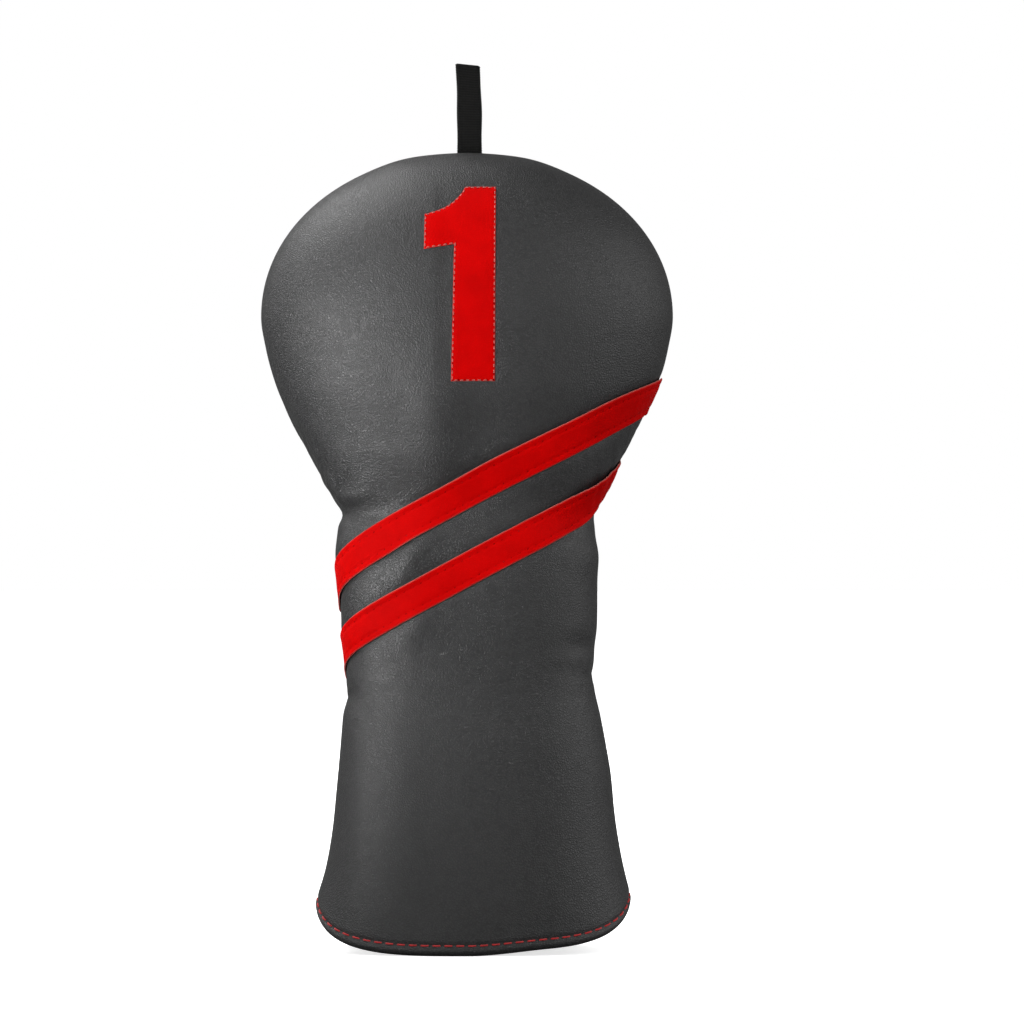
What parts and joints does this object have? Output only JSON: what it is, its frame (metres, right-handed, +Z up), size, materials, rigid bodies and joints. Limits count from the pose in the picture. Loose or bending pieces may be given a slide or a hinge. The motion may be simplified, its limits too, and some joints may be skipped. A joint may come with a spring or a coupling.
{
  "type": "golf driver head cover",
  "caption": "Padded leather driver cover with a bulb-shaped head, gathered neck, flared skirt, sewn-on numeral, diagonal stripes and a webbing pull loop.",
  "frame": {"origin": "on the floor in the middle of the whole width and depth, with the hem's lowest edges at z = 0", "axes": "+Z up from the open hem to the crown and the pull loop, +X to the viewer's right, -Y out of the front that carries the numeral"},
  "size_m": [0.1648, 0.092, 0.3551],
  "materials": {
    "grey_leather": "pebbled, satin",
    "red_leather": "fine grain, satin",
    "black_webbing": "woven",
    "white_elastic": "woven",
    "grey_foam": "open-cell padding",
    "black_plush": "plush",
    "red_thread": "waxed thread",
    "dark_thread": "waxed thread"
  },
  "bodies": {
    "cover": {"front_panel": "grey_leather", "back_panel": "grey_leather", "front_padding": "grey_foam", "back_padding": "grey_foam", "front_lining": "black_plush", "back_lining": "black_plush", "numeral_patch": "red_leather", "numeral_thread": "red_thread", "upper_stripe": "red_leather", "upper_stripe_top_thread": "red_thread", "upper_stripe_bottom_thread": "red_thread", "lower_stripe": "red_leather", "lower_stripe_top_thread": "red_thread", "lower_stripe_bottom_thread": "red_thread", "upper_neck_elastic": "white_elastic", "upper_neck_elastic_thread": "dark_thread", "lower_neck_elastic": "white_elastic", "lower_neck_elastic_thread": "dark_thread", "hem_thread": "red_thread", "left_seam_thread": "dark_thread", "right_seam_thread": "dark_thread", "loop_tail": "black_webbing"},
    "loop": {"pull_loop": "black_webbing"}
  },
  "joints": [
    {"name": "loop_swing", "type": "hinge", "parent": "cover", "child": "loop", "pos_m": [0.001, 0.005, 0.32045], "axis": [1, 0, 0], "range_deg": [-80, 80], "stiffness_Nm_per_rad": 0.002}
  ]
}
